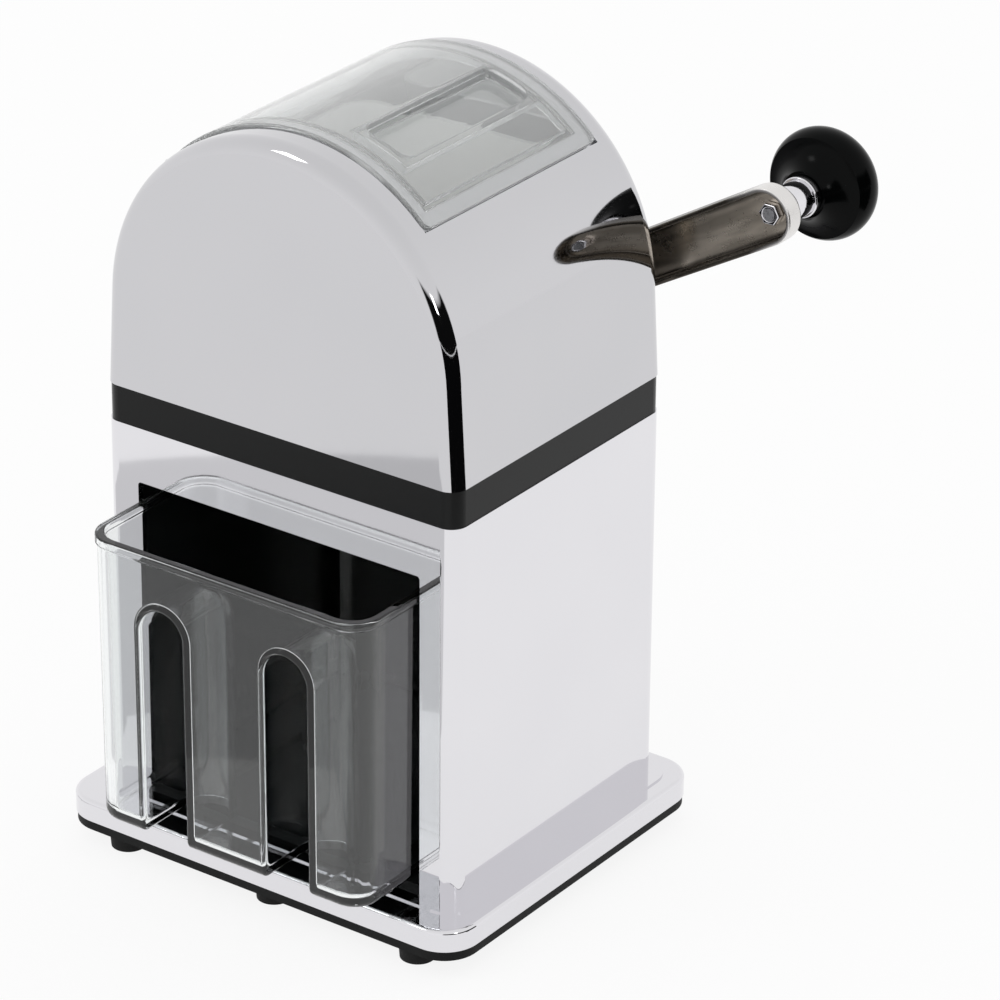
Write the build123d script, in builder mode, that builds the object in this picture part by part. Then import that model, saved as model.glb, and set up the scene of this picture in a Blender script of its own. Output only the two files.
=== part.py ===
from build123d import *
import os
from math import acos, atan2, cos, degrees, hypot, radians, sin, sqrt

# Hand crank ice crusher. Millimetres. The origin lies on the floor under the centre of the body.
# +X is to the right seen from the front, +Y to the rear, +Z up. The shaft runs along Y.

# ---------------------------------------------------------------- driving sizes: outside
body_width = 143.0
body_depth = 116.0
body_corner = 6.0
body_wall = 2.5

foot_height = 6.9
cover_thickness = 3.5
plinth_height = 8.3
lower_height = 136.2
band_height = 13.0
arch_narrowing = 1.9  # the arch's radius is this much under half the body's width
arch_rise = 30.7  # from the seam up to the centre of the arch

side_overhang = 11.0
front_overhang = 15.5
rear_overhang = 10.5
plinth_corner = 13.0
plinth_wall = 3.0
plinth_deck = 3.0
ledge_round = 1.6
tier_width = 5.0  # the raised step of the plinth round the foot of the body
tier_height = 0.6

cover_inset = 0.5
cover_rim_wall = 1.2
cover_rim_height = 2.0
foot_radius = 6.5
foot_taper = 0.5
foot_neck_radius = 2.6
foot_bulb_radius = 3.6
foot_bulb_height = 1.8
foot_side_edge = 21.5  # corner feet, in from the plinth's sides
foot_edge = 10.0  # corner feet, in from the plinth's front and rear
middle_foot_edge = 12.0

opening_margin = 14.0  # body left standing on each side of the opening
opening_header = 19.6  # and above it
opening_corner = 1.2

band_inset = 0.4
band_wall = 3.0
deck_thickness = 3.3
hood_wall = 3.5

# ---------------------------------------------------------------- driving sizes: lid and hinge
lid_proud = 1.1
lid_wall = 2.6
lid_right_angle = 44.5  # degrees above +X, about the centre of the arch
lid_left_angle = 137.0
lid_front_margin = 13.5  # from the hood's front to the lid
lid_rear_margin = 10.5
lid_corner = 3.0
lid_lap = 5.5  # how far the lid reaches over the edge of the hood's opening
skirt_depth = 3.0
skirt_wall = 2.0
pocket_right_angle = 64.0
pocket_left_angle = 79.0
pocket_front_margin = 15.5  # from the lid's front to the pocket
pocket_rear_margin = 9.5
pocket_depth = 4.5
pocket_floor = 2.2
pocket_corner = 4.0
hinge_angle = 139.0
hinge_depth = 0.5  # the pin's centre below the hood's surface
hinge_pin_radius = 1.25
knuckle_radius = 2.4
end_lug_length = 10.0
middle_lug_length = 20.0

# ---------------------------------------------------------------- driving sizes: ice drawer and its bay
drawer_rim_drop = 6.7  # rim below the top of the opening
drawer_bottom_rise = 5.3  # bottom above the plinth's ledge
drawer_reach = 30.3  # how far it stands out of the body
drawer_rear_room = 11.0
drawer_corner = 11.0
drawer_wall = 2.4
drawer_floor = 2.6
drawer_side_gap = 0.6
drawer_taper = 0.25  # degrees
rim_lip = 0.7
rim_height = 3.0
drawer_edge_round = 3.0
groove_spacing = 25.3  # centre of each finger groove from the middle
groove_width = 17.8
groove_apex_drop = 19.9  # top of the groove below the rim
groove_depth = 31.5
groove_wall = 2.2
groove_lip = 1.2
bay_wall = 2.0
bay_floor = 2.0
bay_rear_gap = 2.5
rail_width = 6.0
rail_spacing = 38.0

# ---------------------------------------------------------------- driving sizes: crushing works
chamber_width = 62.0
chamber_end_room = 18.0  # from the body's front and rear to the chamber
chamber_wall = 3.0
chamber_corner = 4.0
chamber_low_room = 4.7  # the chamber reaches this far below the rotor
chamber_top_room = 4.3  # and this far above it
flange_width = 9.0
flange_thickness = 3.0
hopper_side_gap = 4.5  # at the rim, to the hood's inside
hopper_end_room = 15.0
hopper_height = 42.0
hopper_wall = 2.0
hopper_corner = 8.0
collar_depth = 6.0

shaft_radius = 4.5
hex_step = 0.5  # the six-sided middle stands out from the round ends
blade_count = 5
comb_end_room = 7.5  # from the chamber's end to the first tooth
blade_thickness = 2.5
blade_tip_gap = 2.0
blade_root_radius = 14.0
blade_points = 4
blade_twist = 18.0  # degrees from one blade to the next
spacer_radius = 10.0
washer_radius = 9.0
washer_thickness = 1.2
tooth_thickness = 3.0
tooth_gap = 2.5  # from the teeth to the spacers
comb_plate = 2.0
comb_margin = 1.0
comb_low = 26.0  # below the shaft
comb_high = 4.0
bush_wall = 2.5
bush_rim = 2.0
bush_flange = 2.5
circlip_height = 2.1
circlip_thickness = 1.1
circlip_mouth = 4.0
groove_sink = 0.6
bezel_radius = 12.0
bezel_spigot_radius = 9.0
bezel_flange = 2.5
bezel_gap = 0.7

# ---------------------------------------------------------------- driving sizes: crank and knob
arm_angle = 30.5  # degrees above +X
crank_radius = 122.5
arm_hub_radius = 8.5
arm_end_radius = 9.8
arm_depth = 7.5
arm_web = 2.0
arm_flange = 1.6
arm_edge_round = 1.5
arm_gap = 1.5  # from the bezel to the arm's front edges
hub_boss_radius = 6.4
ferrule_radius = 6.2
ferrule_ring_radius = 7.0
ferrule_ring = 3.0
ferrule_length = 15.6
spindle_radius = 3.0
spindle_head_radius = 4.8
spindle_head = 3.0
spindle_thread_radius = 2.2
nut_width = 7.0
nut_thickness = 2.8
knob_neck_radius = 8.0
knob_radius = 19.2
knob_flare_length = 6.5
knob_flare_hollow = 1.2  # how far the flare bends in from a straight cone
knob_rim_length = 11.2
knob_crown = 5.9
knob_bore_depth = 14.6
knob_counterbore = 4.0
knob_cap_radius = 6.8
knob_shoulder = 1.9  # how far the flare and the crown stop short of the full radius
hub_screw_head_radius = 5.0
hub_screw_head = 2.6
hub_screw_radius = 1.9
hub_screw_length = 12.0

# ---------------------------------------------------------------- driving sizes: screws and fits
screw_radius = 1.5
screw_head_radius = 2.7
screw_head = 1.8
recess_width = 0.8
recess_length = 3.2
recess_depth = 0.9
post_radius = 5.0
boss_radius = 4.0
short_grip = 5.0
long_grip = 14.0
comb_screw_drop = 20.7  # the comb's screws below the shaft
comb_screw_inset = 9.0
post_inset_x = 7.0
post_inset_y = 7.0
hood_post_inset = 22.0
hood_post_height = 38.0

fit_gap = 0.05  # round fits: shafts, pins and screws in their holes
seat_gap = 0.3  # between shells that slide over each other
swing_gap = 0.5  # round moving edges
slide_gap = 0.3

# ---------------------------------------------------------------- heights and places that follow
plinth_bottom_z = foot_height + cover_thickness
ledge_z = plinth_bottom_z + plinth_height
band_z = ledge_z + lower_height
seam_z = band_z + band_height
arch_z = seam_z + arch_rise
deck_z = band_z + deck_thickness
half_depth = body_depth / 2
arch_radius = body_width / 2 - arch_narrowing
plinth_width = body_width + 2 * side_overhang
plinth_length = body_depth + front_overhang + rear_overhang
plinth_y = (rear_overhang - front_overhang) / 2
plinth_front_y = -half_depth - front_overhang
plinth_rear_y = half_depth + rear_overhang

# The hood's sides lean in until they meet the arch without a corner.
side_lean = acos(arch_radius / hypot(body_width / 2, arch_rise)) - atan2(arch_rise, body_width / 2)

opening_width = body_width - 2 * opening_margin
opening_height = lower_height - opening_header
opening_top_z = ledge_z + opening_height
drawer_rim_z = opening_top_z - drawer_rim_drop
drawer_bottom_z = ledge_z + drawer_bottom_rise
drawer_width = opening_width - 2 * drawer_side_gap
drawer_front = half_depth + drawer_reach
drawer_rear = half_depth - drawer_rear_room
drawer_length = drawer_front + drawer_rear
drawer_y = (drawer_rear - drawer_front) / 2
groove_radius = groove_width / 2
groove_centre_z = drawer_rim_z - groove_apex_drop - groove_radius
groove_end_y = -drawer_front + groove_depth - groove_radius

chamber_length = body_depth - 2 * chamber_end_room
chamber_half_length = chamber_length / 2
chamber_outer_width = chamber_width + 2 * chamber_wall
chamber_outer_length = chamber_length + 2 * chamber_wall
comb_back = chamber_width / 2 - comb_plate
blade_tip_radius = comb_back - blade_tip_gap
chamber_low_z = seam_z - blade_tip_radius - chamber_low_room
chamber_top_z = seam_z + blade_tip_radius + chamber_top_room
hopper_top_z = chamber_top_z + hopper_height
hopper_rim_half = sqrt((arch_radius - hood_wall) ** 2 - (hopper_top_z - arch_z) ** 2) - hopper_side_gap
hopper_width = 2 * (hopper_rim_half - hopper_wall)
hopper_length = body_depth - 2 * hopper_end_room
tooth_count = blade_count + 1
blade_pitch = (chamber_length - 2 * comb_end_room) / blade_count
comb_width = (tooth_count - 1) * blade_pitch + tooth_thickness + 2 * comb_margin
comb_screw_spacing = comb_width / 2 - comb_screw_inset
comb_screw_places = [(y, seam_z - comb_screw_drop) for y in (-comb_screw_spacing, comb_screw_spacing)]
tooth_tip = spacer_radius + tooth_gap
hex_width = 2 * (shaft_radius + hex_step)
tang_width = sqrt(2) * shaft_radius - 2 * fit_gap
bush_radius = shaft_radius + bush_wall
bush_flange_radius = bush_radius + bush_rim
circlip_radius = shaft_radius + circlip_height
bezel_bore_radius = shaft_radius + bezel_gap
bush_face_y = chamber_half_length + chamber_wall
stack_half_length = chamber_half_length - washer_thickness - 2 * seat_gap
circlip_y = -(bush_face_y + bush_flange + seat_gap)
shaft_front_y = circlip_y - 2 * circlip_thickness

bezel_face_y = half_depth + bezel_flange
arm_front_y = bezel_face_y + arm_gap
arm_back_y = arm_front_y + arm_depth
ferrule_end_y = arm_back_y + ferrule_length
knob_front_y = ferrule_end_y + seat_gap
knob_back_y = knob_front_y + knob_flare_length + knob_rim_length + knob_crown
arm_turn = radians(arm_angle)
knob_x = crank_radius * cos(arm_turn)
knob_z = seam_z + crank_radius * sin(arm_turn)

lid_front = half_depth - lid_front_margin
lid_rear = half_depth - lid_rear_margin
pocket_front = lid_front - pocket_front_margin
pocket_rear = lid_rear - pocket_rear_margin
lid_outer = arch_radius + lid_proud
lid_inner = lid_outer - lid_wall
rebate_floor = lid_inner - seat_gap
hinge_radius = arch_radius - hinge_depth
hinge_x = hinge_radius * cos(radians(hinge_angle))
hinge_z = arch_z + hinge_radius * sin(radians(hinge_angle))
lap_angle = degrees(lid_lap / lid_outer)
gap_angle = degrees(swing_gap / lid_outer)
mouth_right_angle = lid_right_angle + lap_angle
mouth_left_angle = lid_left_angle - lap_angle
mouth_front = lid_front - lid_lap
mouth_rear = lid_rear - lid_lap

post_x = body_width / 2 - post_inset_x
post_y = half_depth - post_inset_y
post_points = [(x, y) for x in (-post_x, post_x) for y in (-post_y, post_y)]
hood_post_x = post_x - 1
hood_post_spacing = half_depth - hood_post_inset
hood_points = [(x, y) for x in (-hood_post_x, hood_post_x) for y in (-hood_post_spacing, hood_post_spacing)]
cover_points = [(x, y) for x in (-rail_spacing, rail_spacing) for y in (-post_y, post_y)]
chamber_point_x = chamber_outer_width / 2 + flange_width / 2
chamber_point_y = chamber_outer_length / 2 + flange_width / 2
chamber_points = [
    (x, y) for x in (-chamber_point_x, chamber_point_x) for y in (-chamber_point_y, chamber_point_y)
]
foot_spacing = plinth_width / 2 - foot_side_edge
corner_feet = [
    (x, y)
    for x in (-foot_spacing, foot_spacing)
    for y in (plinth_front_y + foot_edge, plinth_rear_y - foot_edge)
]
middle_feet = [(0, plinth_front_y + middle_foot_edge), (0, plinth_rear_y - middle_foot_edge)]
foot_points = corner_feet + middle_feet

os.makedirs("parts", exist_ok=True)


def level(z, y=0.0):
    """A level plane at height z, its middle moved back by y."""
    return Plane(origin=(0, y, z))


def upright(y, x=0.0, z=0.0, turn=0.0):
    """A plane across the shaft, seen from the front: local x to the right, turned up by an angle."""
    angle = radians(turn)
    return Plane(origin=(x, y, z), x_dir=(cos(angle), 0, sin(angle)), z_dir=(0, -1, 0))


def rod(radius, start_y, end_y, x=0.0, z=seam_z, mode=Mode.ADD):
    """A round bar along Y, added to or cut from the piece in hand."""
    with BuildSketch(upright(start_y, x, z)) as section:
        Circle(radius)
    extrude(section.sketch, amount=start_y - end_y, mode=mode)


def hex_hole(start_y, end_y, gap=fit_gap):
    """A six-sided hole for the shaft, cut from the piece in hand."""
    with BuildSketch(upright(start_y, 0, seam_z)) as section:
        RegularPolygon(hex_width / 2 + gap, 6, major_radius=False)
    extrude(section.sketch, amount=start_y - end_y, mode=Mode.SUBTRACT)


def drill(points, radius, low_z, high_z, mode=Mode.SUBTRACT):
    """Round holes (or posts) straight up from low_z to high_z."""
    with BuildSketch(level(low_z)) as section:
        with Locations(*points):
            Circle(radius)
    extrude(section.sketch, amount=high_z - low_z, mode=mode)


def screw(length):
    """One screw standing up: its seat at z = 0, its crossed head below."""
    with BuildPart() as blank:
        with BuildSketch(level(-screw_head)):
            Circle(screw_head_radius)
        extrude(amount=screw_head)
        fillet(blank.edges().group_by(Axis.Z)[0], screw_head / 3)
        with BuildSketch(level(-screw_head)):
            Rectangle(recess_length, recess_width)
            Rectangle(recess_width, recess_length)
        extrude(amount=recess_depth, mode=Mode.SUBTRACT)
        with BuildSketch(level(0)):
            Circle(screw_radius)
        extrude(amount=length)
        chamfer(blank.edges().group_by(Axis.Z)[-1], screw_radius / 3)
    return blank.part


def arch_outline(inset, bottom_z):
    """The hood's cross-section, pulled in by inset, open down to bottom_z."""
    radius = arch_radius - inset
    side = (radius * cos(side_lean), arch_z + radius * sin(side_lean))
    foot = ((radius + (arch_z - bottom_z) * sin(side_lean)) / cos(side_lean), bottom_z)
    with BuildLine() as outline:
        Line(foot, side)
        ThreePointArc(side, (0, arch_z + radius), (-side[0], side[1]))
        Line((-side[0], side[1]), (-foot[0], foot[1]))
        Line((-foot[0], foot[1]), foot)
    make_face(outline.edges())


def arch_block(inner, outer, right_angle, left_angle, front_y, rear_y, mode=Mode.ADD):
    """A stretch of the arch between two radii and two angles, from front_y back to rear_y."""

    def at(radius, angle):
        return (radius * cos(radians(angle)), arch_z + radius * sin(radians(angle)))

    middle = (right_angle + left_angle) / 2
    with BuildLine() as outline:
        Line(at(inner, right_angle), at(outer, right_angle))
        ThreePointArc(at(outer, right_angle), at(outer, middle), at(outer, left_angle))
        Line(at(outer, left_angle), at(inner, left_angle))
        ThreePointArc(at(inner, left_angle), at(inner, middle), at(inner, right_angle))
    with BuildSketch(upright(front_y)) as section:
        make_face(outline.edges())
    extrude(section.sketch, amount=front_y - rear_y, mode=mode)


# ================================================================ base
with BuildPart() as base_plinth:
    with BuildSketch(level(plinth_bottom_z, plinth_y)):
        RectangleRounded(plinth_width, plinth_length, plinth_corner)
    extrude(amount=plinth_height - tier_height)
    fillet(base_plinth.faces().sort_by(Axis.Z)[-1].edges(), ledge_round)
    with BuildSketch(level(ledge_z - tier_height)):
        RectangleRounded(body_width + 2 * tier_width, body_depth + 2 * tier_width, body_corner + tier_width)
    extrude(amount=tier_height)
    with BuildSketch(level(plinth_bottom_z, plinth_y)):
        RectangleRounded(
            plinth_width - 2 * plinth_wall, plinth_length - 2 * plinth_wall, plinth_corner - plinth_wall
        )
    extrude(amount=plinth_height - plinth_deck, mode=Mode.SUBTRACT)
    drill(cover_points, boss_radius, plinth_bottom_z, ledge_z - plinth_deck, mode=Mode.ADD)
    drill(cover_points, screw_radius + fit_gap, plinth_bottom_z, plinth_bottom_z + short_grip)
    drill(post_points, screw_radius + fit_gap, plinth_bottom_z, ledge_z)
base_plinth.part.label = "base_plinth"
export_step(base_plinth.part, "parts/base_plinth.step")

with BuildPart() as bottom_cover:
    with BuildSketch(level(foot_height, plinth_y)):
        RectangleRounded(
            plinth_width - 2 * cover_inset, plinth_length - 2 * cover_inset, plinth_corner - cover_inset
        )
    extrude(amount=cover_thickness)
    rim_inset = plinth_wall + seat_gap
    with BuildSketch(level(plinth_bottom_z, plinth_y)):
        RectangleRounded(
            plinth_width - 2 * rim_inset, plinth_length - 2 * rim_inset, plinth_corner - rim_inset
        )
        inner_inset = rim_inset + cover_rim_wall
        RectangleRounded(
            plinth_width - 2 * inner_inset,
            plinth_length - 2 * inner_inset,
            plinth_corner - inner_inset,
            mode=Mode.SUBTRACT,
        )
    extrude(amount=cover_rim_height)
    drill(foot_points, foot_neck_radius + fit_gap, foot_height, plinth_bottom_z)
    drill(cover_points, screw_radius + fit_gap, foot_height, plinth_bottom_z)
    drill(cover_points, screw_head_radius + seat_gap, foot_height, foot_height + screw_head)
bottom_cover.part.label = "bottom_cover"
export_step(bottom_cover.part, "parts/bottom_cover.step")

with BuildPart() as foot:
    with BuildSketch(Plane.XZ):
        with BuildLine():
            Polyline(
                (0, 0),
                (foot_radius - foot_taper, 0),
                (foot_radius, foot_height - foot_taper),
                (foot_radius, foot_height),
                (foot_neck_radius, foot_height),
                (foot_neck_radius, plinth_bottom_z + fit_gap),
                (foot_bulb_radius, plinth_bottom_z + fit_gap),
                (foot_neck_radius, plinth_bottom_z + fit_gap + foot_bulb_height),
                (0, plinth_bottom_z + fit_gap + foot_bulb_height),
                close=True,
            )
        make_face()
    revolve(axis=Axis.Z)
with BuildPart() as rubber_feet:
    with Locations(*[(x, y, 0) for x, y in foot_points]):
        add(foot.part)
rubber_feet.part.label = "rubber_feet"
export_step(rubber_feet.part, "parts/rubber_feet.step")

with BuildPart() as cover_screws:
    with Locations(*[(x, y, foot_height + screw_head) for x, y in cover_points]):
        add(screw(cover_thickness - screw_head + short_grip - seat_gap))
cover_screws.part.label = "cover_screws"
export_step(cover_screws.part, "parts/cover_screws.step")

with BuildPart() as body_screws:
    with Locations(*[(x, y, ledge_z - plinth_deck) for x, y in post_points]):
        add(screw(plinth_deck + long_grip - seat_gap))
body_screws.part.label = "body_screws"
export_step(body_screws.part, "parts/body_screws.step")

# ================================================================ lower body
with BuildPart() as lower_body:
    with BuildSketch(level(ledge_z)):
        RectangleRounded(body_width, body_depth, body_corner)
        RectangleRounded(
            body_width - 2 * body_wall,
            body_depth - 2 * body_wall,
            body_corner - body_wall,
            mode=Mode.SUBTRACT,
        )
    extrude(amount=lower_height)
    drill(post_points, post_radius, ledge_z, band_z, mode=Mode.ADD)
    drill(post_points, screw_radius + fit_gap, ledge_z, ledge_z + long_grip)
    drill(post_points, screw_radius + fit_gap, band_z - long_grip, band_z)
    with BuildSketch(upright(-half_depth - body_wall, 0, ledge_z - opening_corner)):
        Rectangle(opening_width, opening_height + opening_corner, align=(Align.CENTER, Align.MIN))
    extrude(amount=-2 * body_wall, mode=Mode.SUBTRACT)
    opening_corners = (
        lower_body.edges()
        .filter_by(Axis.Y)
        .filter_by_position(Axis.Z, opening_top_z - 0.01, opening_top_z + 0.01)
        .filter_by_position(Axis.X, -opening_width / 2 - 0.01, opening_width / 2 + 0.01)
    )
    fillet(opening_corners, opening_corner)
lower_body.part.label = "lower_body"
export_step(lower_body.part, "parts/lower_body.step")

bay_front_y = -half_depth + body_wall
bay_rear_y = drawer_rear + bay_rear_gap
bay_length = bay_rear_y - bay_front_y
with BuildPart() as drawer_bay:
    with BuildSketch(level(ledge_z, bay_front_y)):
        Rectangle(opening_width + 2 * bay_wall, bay_length + bay_wall, align=(Align.CENTER, Align.MIN))
    extrude(amount=lower_height)
    with BuildSketch(level(ledge_z + bay_floor, bay_front_y)):
        Rectangle(opening_width, bay_length, align=(Align.CENTER, Align.MIN))
    extrude(amount=lower_height - bay_floor, mode=Mode.SUBTRACT)
    with BuildSketch(level(ledge_z + bay_floor, bay_front_y)):
        with Locations((-rail_spacing, 0), (rail_spacing, 0)):
            Rectangle(rail_width, bay_length, align=(Align.CENTER, Align.MIN))
    extrude(amount=drawer_bottom_rise - bay_floor - slide_gap)
drawer_bay.part.label = "drawer_bay"
export_step(drawer_bay.part, "parts/drawer_bay.step")

# ================================================================ middle frame, seen as the black band
with BuildPart() as mid_frame:
    with BuildSketch(level(band_z)):
        RectangleRounded(body_width - 2 * band_inset, body_depth - 2 * band_inset, body_corner - band_inset)
    extrude(amount=band_height)
    frame_inset = band_inset + band_wall
    with BuildSketch(level(deck_z)):
        RectangleRounded(
            body_width - 2 * frame_inset, body_depth - 2 * frame_inset, body_corner - frame_inset
        )
    extrude(amount=band_height - deck_thickness, mode=Mode.SUBTRACT)
    with BuildSketch(level(band_z)):
        RectangleRounded(
            chamber_outer_width + 2 * seat_gap,
            chamber_outer_length + 2 * seat_gap,
            chamber_corner + chamber_wall,
        )
    extrude(amount=deck_thickness, mode=Mode.SUBTRACT)
    drill(hood_points, post_radius - fit_gap, deck_z, seam_z, mode=Mode.ADD)
    drill(hood_points, screw_radius + fit_gap, band_z, seam_z)
    drill(post_points, screw_radius + fit_gap, band_z, deck_z)
    drill(chamber_points, screw_radius + fit_gap, band_z, deck_z)
    rod(bezel_spigot_radius + fit_gap, half_depth - 2 * band_wall, half_depth, mode=Mode.SUBTRACT)
mid_frame.part.label = "mid_frame"
export_step(mid_frame.part, "parts/mid_frame.step")

with BuildPart() as frame_screws:
    with Locations(*[(x, y, deck_z) for x, y in post_points]):
        add(screw(deck_thickness + long_grip - seat_gap), rotation=(180, 0, 0))
frame_screws.part.label = "frame_screws"
export_step(frame_screws.part, "parts/frame_screws.step")

with BuildPart() as hood_screws:
    with Locations(*[(x, y, band_z) for x, y in hood_points]):
        add(screw(band_height + long_grip - seat_gap))
hood_screws.part.label = "hood_screws"
export_step(hood_screws.part, "parts/hood_screws.step")

# ================================================================ hood
lug_gap = swing_gap
knuckle_space = knuckle_radius + swing_gap
lug_centre = (lid_rear - lid_front) / 2
front_knuckle = (-lid_front + end_lug_length + lug_gap, lug_centre - middle_lug_length / 2 - lug_gap)
rear_knuckle = (lug_centre + middle_lug_length / 2 + lug_gap, lid_rear - end_lug_length - lug_gap)
knuckle_spans = [front_knuckle, rear_knuckle]
lug_spans = [
    (-lid_front, front_knuckle[0] - lug_gap),
    (front_knuckle[1] + lug_gap, rear_knuckle[0] - lug_gap),
    (rear_knuckle[1] + lug_gap, lid_rear),
]

with BuildPart() as hood_hollow:
    with BuildSketch(upright(-half_depth + hood_wall)):
        arch_outline(hood_wall, seam_z)
    extrude(amount=-(body_depth - 2 * hood_wall))
    rod(knuckle_radius + swing_gap + body_wall, -half_depth, half_depth, hinge_x, hinge_z, mode=Mode.SUBTRACT)
    drill(hood_points, post_radius, seam_z, seam_z + hood_post_height)

with BuildPart() as hood:
    with BuildSketch(upright(-half_depth)):
        arch_outline(0, seam_z)
    extrude(amount=-body_depth)
    front_edges = hood.edges().filter_by_position(Axis.Y, -half_depth, -half_depth)
    rear_edges = hood.edges().filter_by_position(Axis.Y, half_depth, half_depth)
    end_edges = front_edges + rear_edges
    fillet(end_edges.filter_by(lambda edge: edge.center().Z > seam_z + 1), body_corner)
    add(hood_hollow.part, mode=Mode.SUBTRACT)
    arch_block(
        rebate_floor,
        arch_radius + knuckle_radius,
        lid_right_angle - gap_angle,
        lid_left_angle + gap_angle,
        -lid_front - swing_gap,
        lid_rear + swing_gap,
        mode=Mode.SUBTRACT,
    )
    arch_block(
        arch_radius / 2,
        arch_radius + knuckle_radius,
        mouth_right_angle,
        mouth_left_angle,
        -mouth_front,
        mouth_rear,
        mode=Mode.SUBTRACT,
    )
    for start_y, end_y in knuckle_spans:
        rod(knuckle_space, start_y - lug_gap, end_y + lug_gap, hinge_x, hinge_z, mode=Mode.SUBTRACT)
    for start_y, end_y in lug_spans:
        rod(knuckle_radius, start_y, end_y, hinge_x, hinge_z)
    rod(hinge_pin_radius + fit_gap, -lid_front, lid_rear, hinge_x, hinge_z, mode=Mode.SUBTRACT)
    drill(hood_points, screw_radius + fit_gap, seam_z, seam_z + long_grip)
    rod(bezel_spigot_radius + fit_gap, half_depth - 2 * hood_wall, half_depth, mode=Mode.SUBTRACT)
hood.part.label = "hood"
export_step(hood.part, "parts/hood.step")

# ================================================================ lid
with BuildPart() as pocket_cutter:
    arch_block(
        lid_outer - pocket_depth,
        lid_outer + pocket_depth,
        pocket_right_angle,
        pocket_left_angle,
        -pocket_front,
        pocket_rear,
    )
    fillet(pocket_cutter.edges().filter_by(GeomType.LINE).filter_by(Axis.Y, reverse=True), pocket_corner)

pocket_margin = degrees(skirt_wall / lid_outer)
with BuildPart() as lid:
    arch_block(lid_inner, lid_outer, lid_right_angle, lid_left_angle, -lid_front, lid_rear)
    free_corners = lid.edges().filter_by(GeomType.LINE).filter_by(Axis.Y, reverse=True).group_by(Axis.X)[-1]
    fillet(free_corners, lid_corner)
    arch_block(
        lid_inner - skirt_depth,
        lid_inner + fit_gap,
        mouth_right_angle + gap_angle,
        mouth_left_angle - gap_angle,
        -mouth_front + swing_gap,
        mouth_rear - swing_gap,
    )
    arch_block(
        arch_radius / 2,
        lid_inner,
        mouth_right_angle + gap_angle + pocket_margin,
        mouth_left_angle - gap_angle - pocket_margin,
        -mouth_front + swing_gap + skirt_wall,
        mouth_rear - swing_gap - skirt_wall,
        mode=Mode.SUBTRACT,
    )
    arch_block(
        lid_outer - pocket_depth - pocket_floor,
        lid_inner + fit_gap,
        pocket_right_angle - pocket_margin,
        pocket_left_angle + pocket_margin,
        -pocket_front - skirt_wall,
        pocket_rear + skirt_wall,
    )
    add(pocket_cutter.part, mode=Mode.SUBTRACT)
    for start_y, end_y in lug_spans:
        rod(knuckle_space, start_y - lug_gap, end_y + lug_gap, hinge_x, hinge_z, mode=Mode.SUBTRACT)
    for start_y, end_y in knuckle_spans:
        arch_block(lid_inner, lid_outer, lid_left_angle - lap_angle / 2, hinge_angle, start_y, end_y)
        rod(knuckle_radius, start_y, end_y, hinge_x, hinge_z)
    rod(hinge_pin_radius + fit_gap, -lid_front, lid_rear, hinge_x, hinge_z, mode=Mode.SUBTRACT)
lid.part.label = "lid"
export_step(lid.part, "parts/lid.step")

with BuildPart() as lid_hinge_pin:
    rod(hinge_pin_radius, -lid_front + swing_gap, lid_rear - swing_gap, hinge_x, hinge_z)
lid_hinge_pin.part.label = "lid_hinge_pin"
export_step(lid_hinge_pin.part, "parts/lid_hinge_pin.step")

# ================================================================ hopper and crushing chamber
collar_inset = seat_gap + hopper_wall
with BuildPart() as hopper_inside:
    with BuildSketch(level(chamber_top_z)):
        RectangleRounded(chamber_width, chamber_length, chamber_corner)
    with BuildSketch(level(hopper_top_z)):
        RectangleRounded(hopper_width, hopper_length, hopper_corner)
    loft(ruled=True)
with BuildPart() as ice_hopper:
    with BuildSketch(level(chamber_top_z)):
        RectangleRounded(
            chamber_outer_width + 2 * collar_inset,
            chamber_outer_length + 2 * collar_inset,
            chamber_corner + chamber_wall,
        )
    with BuildSketch(level(hopper_top_z)):
        RectangleRounded(
            hopper_width + 2 * hopper_wall, hopper_length + 2 * hopper_wall, hopper_corner + hopper_wall
        )
    loft(ruled=True)
    add(hopper_inside.part, mode=Mode.SUBTRACT)
    with BuildSketch(level(chamber_top_z - collar_depth)):
        RectangleRounded(
            chamber_outer_width + 2 * collar_inset,
            chamber_outer_length + 2 * collar_inset,
            chamber_corner + chamber_wall,
        )
        RectangleRounded(
            chamber_outer_width + 2 * seat_gap,
            chamber_outer_length + 2 * seat_gap,
            chamber_corner + chamber_wall,
            mode=Mode.SUBTRACT,
        )
    extrude(amount=collar_depth)
ice_hopper.part.label = "ice_hopper"
export_step(ice_hopper.part, "parts/ice_hopper.step")

with BuildPart() as crushing_chamber:
    with BuildSketch(level(chamber_low_z)):
        RectangleRounded(chamber_outer_width, chamber_outer_length, chamber_corner + chamber_wall)
    extrude(amount=chamber_top_z - chamber_low_z)
    with BuildSketch(level(deck_z)):
        RectangleRounded(
            chamber_outer_width + 2 * flange_width,
            chamber_outer_length + 2 * flange_width,
            chamber_corner + chamber_wall,
        )
    extrude(amount=flange_thickness)
    with BuildSketch(level(chamber_low_z)):
        RectangleRounded(chamber_width, chamber_length, chamber_corner)
    extrude(amount=chamber_top_z - chamber_low_z, mode=Mode.SUBTRACT)
    rod(bush_radius + fit_gap, -bush_face_y, bush_face_y, mode=Mode.SUBTRACT)
    for side in (-1, 1):
        flange_edge_y = side * (bush_face_y + flange_width)
        rod(bush_flange_radius + seat_gap, side * bush_face_y, flange_edge_y, mode=Mode.SUBTRACT)
    drill(chamber_points, screw_radius + fit_gap, deck_z, deck_z + flange_thickness)
    with BuildSketch(Plane.YZ.offset(-chamber_outer_width / 2)):
        with Locations(*comb_screw_places):
            Circle(screw_radius + fit_gap)
    extrude(amount=chamber_outer_width, mode=Mode.SUBTRACT)
crushing_chamber.part.label = "crushing_chamber"
export_step(crushing_chamber.part, "parts/crushing_chamber.step")

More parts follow.
